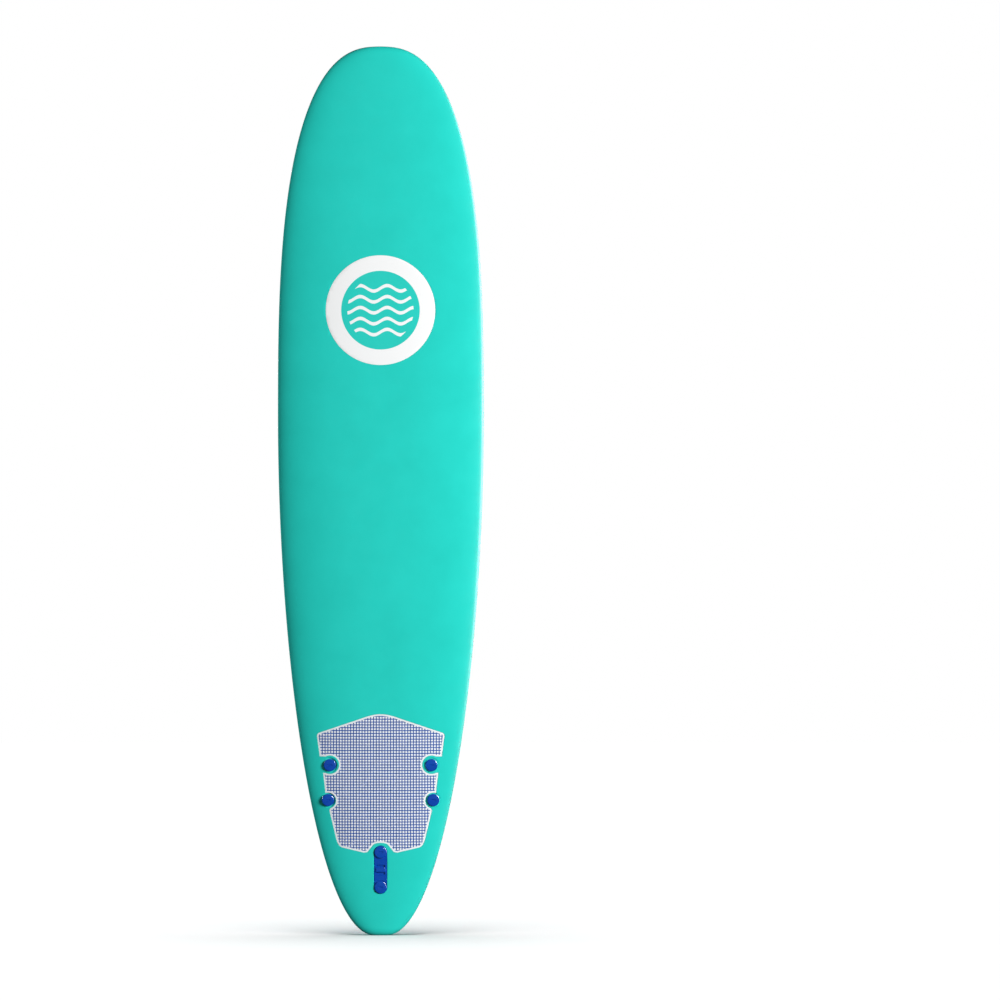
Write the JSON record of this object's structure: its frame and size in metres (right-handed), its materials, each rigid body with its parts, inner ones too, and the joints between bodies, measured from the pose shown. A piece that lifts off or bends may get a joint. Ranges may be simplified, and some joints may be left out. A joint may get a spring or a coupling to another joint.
{
  "type": "surfboard",
  "caption": "Soft-top longboard surfboard with rounded nose, foam deck and wrapped rails, printed slick bottom, tail traction pad, side and centre fins, coin-slot fin screws and leash bridge.",
  "frame": {"origin": "middle of the small flat at the end of the tail", "axes": "+Z from tail to nose along the board, the deck faces -Y, the bottom and the fins face +Y, +X is to the right when looking at the deck with the nose up"},
  "size_m": [0.568, 0.2324, 2.4384],
  "materials": {
    "deck_foam": "closed-cell PE foam skin, soft satin, fine pebble",
    "white_foam": "matt white PE foam sheet",
    "printed_slick": "glossy HDPE sheet printed with navy and teal wave stripes",
    "bead_foam": "fused polystyrene beads",
    "plywood": "raw plywood with visible plies",
    "pad_blue": "matt EVA foam, navy blue",
    "pad_white": "matt EVA foam, white, cut in small squares",
    "badge_film": "satin printed film",
    "fitting_blue": "glossy moulded plastic, royal blue",
    "brass": "knurled turned brass",
    "sleeve_plastic": "natural extruded plastic tube"
  },
  "bodies": {
    "board": {"core_left": "bead_foam", "core_centre": "bead_foam", "core_right": "bead_foam", "stringer_left": "plywood", "stringer_right": "plywood", "deck_skin": "deck_foam", "bottom_backing": "white_foam", "bottom_slick": "printed_slick", "traction_pad_base": "pad_blue", "traction_pad_top": "pad_white", "deck_badge": "badge_film", "fin_sleeve_left_front": "sleeve_plastic", "fin_sleeve_left_rear": "sleeve_plastic", "fin_sleeve_right_front": "sleeve_plastic", "fin_sleeve_right_rear": "sleeve_plastic", "fin_sleeve_centre_front": "sleeve_plastic", "fin_sleeve_centre_rear": "sleeve_plastic"},
    "fin_left": {"fin_left": "fitting_blue", "fin_insert_left_front": "brass", "fin_insert_left_rear": "brass"},
    "washer_left_front": {"screw_washer_left_front": "fitting_blue"},
    "screw_left_front": {"fin_screw_left_front": "fitting_blue"},
    "washer_left_rear": {"screw_washer_left_rear": "fitting_blue"},
    "screw_left_rear": {"fin_screw_left_rear": "fitting_blue"},
    "fin_right": {"fin_right": "fitting_blue", "fin_insert_right_front": "brass", "fin_insert_right_rear": "brass"},
    "washer_right_front": {"screw_washer_right_front": "fitting_blue"},
    "screw_right_front": {"fin_screw_right_front": "fitting_blue"},
    "washer_right_rear": {"screw_washer_right_rear": "fitting_blue"},
    "screw_right_rear": {"fin_screw_right_rear": "fitting_blue"},
    "fin_centre": {"fin_centre": "fitting_blue", "fin_insert_centre_front": "brass", "fin_insert_centre_rear": "brass"},
    "leash_bridge": {"leash_bridge": "fitting_blue"},
    "screw_centre_front": {"fin_screw_centre_front": "fitting_blue"},
    "screw_centre_rear": {"fin_screw_centre_rear": "fitting_blue"}
  },
  "joints": [
    {"name": "fin_left_release", "type": "slide", "parent": "board", "child": "fin_left", "axis": [0, 0.9981, -0.0622], "range_m": [0, 0.04]},
    {"name": "washer_left_front_lift", "type": "slide", "parent": "board", "child": "washer_left_front", "axis": [0, -0.9981, 0.0622], "range_m": [0, 0.0225]},
    {"name": "screw_left_front_turn", "type": "hinge", "parent": "washer_left_front", "child": "screw_left_front", "pos_m": [-0.13979, 0.00219, 0.46706], "axis": [0, -0.9981, 0.0622], "range_deg": [0, 3241]},
    {"name": "washer_left_rear_lift", "type": "slide", "parent": "board", "child": "washer_left_rear", "axis": [0, -0.9981, 0.0622], "range_m": [0, 0.0225]},
    {"name": "screw_left_rear_turn", "type": "hinge", "parent": "washer_left_rear", "child": "screw_left_rear", "pos_m": [-0.14481, 0.00365, 0.37092], "axis": [0, -0.9981, 0.0622], "range_deg": [0, 3241]},
    {"name": "fin_right_release", "type": "slide", "parent": "board", "child": "fin_right", "axis": [0, 0.9981, -0.0622], "range_m": [0, 0.04]},
    {"name": "washer_right_front_lift", "type": "slide", "parent": "board", "child": "washer_right_front", "axis": [0, -0.9981, 0.0622], "range_m": [0, 0.0225]},
    {"name": "screw_right_front_turn", "type": "hinge", "parent": "washer_right_front", "child": "screw_right_front", "pos_m": [0.13979, 0.00219, 0.46706], "axis": [0, -0.9981, 0.0622], "range_deg": [0, 3241]},
    {"name": "washer_right_rear_lift", "type": "slide", "parent": "board", "child": "washer_right_rear", "axis": [0, -0.9981, 0.0622], "range_m": [0, 0.0225]},
    {"name": "screw_right_rear_turn", "type": "hinge", "parent": "washer_right_rear", "child": "screw_right_rear", "pos_m": [0.14481, 0.00365, 0.37092], "axis": [0, -0.9981, 0.0622], "range_deg": [0, 3241]},
    {"name": "fin_centre_release", "type": "slide", "parent": "board", "child": "fin_centre", "axis": [0, 0.9955, -0.0944], "range_m": [0, 0.04]},
    {"name": "leash_bridge_lift", "type": "slide", "parent": "board", "child": "leash_bridge", "axis": [0, -0.9955, 0.0944], "range_m": [0, 0.0225]},
    {"name": "screw_centre_front_turn", "type": "hinge", "parent": "leash_bridge", "child": "screw_centre_front", "pos_m": [0, -0.00916, 0.22824], "axis": [0, -0.9955, 0.0944], "range_deg": [0, 3241]},
    {"name": "screw_centre_rear_turn", "type": "hinge", "parent": "leash_bridge", "child": "screw_centre_rear", "pos_m": [0, -0.01153, 0.13203], "axis": [0, -0.9955, 0.0944], "range_deg": [0, 3241]}
  ],
  "couplings": [
    {"joint": "screw_left_front_turn", "follows": "washer_left_front_lift", "rad_per_m": 2513.3},
    {"joint": "screw_left_rear_turn", "follows": "washer_left_rear_lift", "rad_per_m": 2513.3},
    {"joint": "screw_right_front_turn", "follows": "washer_right_front_lift", "rad_per_m": 2513.3},
    {"joint": "screw_right_rear_turn", "follows": "washer_right_rear_lift", "rad_per_m": 2513.3},
    {"joint": "screw_centre_front_turn", "follows": "leash_bridge_lift", "rad_per_m": 2513.3},
    {"joint": "screw_centre_rear_turn", "follows": "leash_bridge_lift", "rad_per_m": 2513.3}
  ]
}
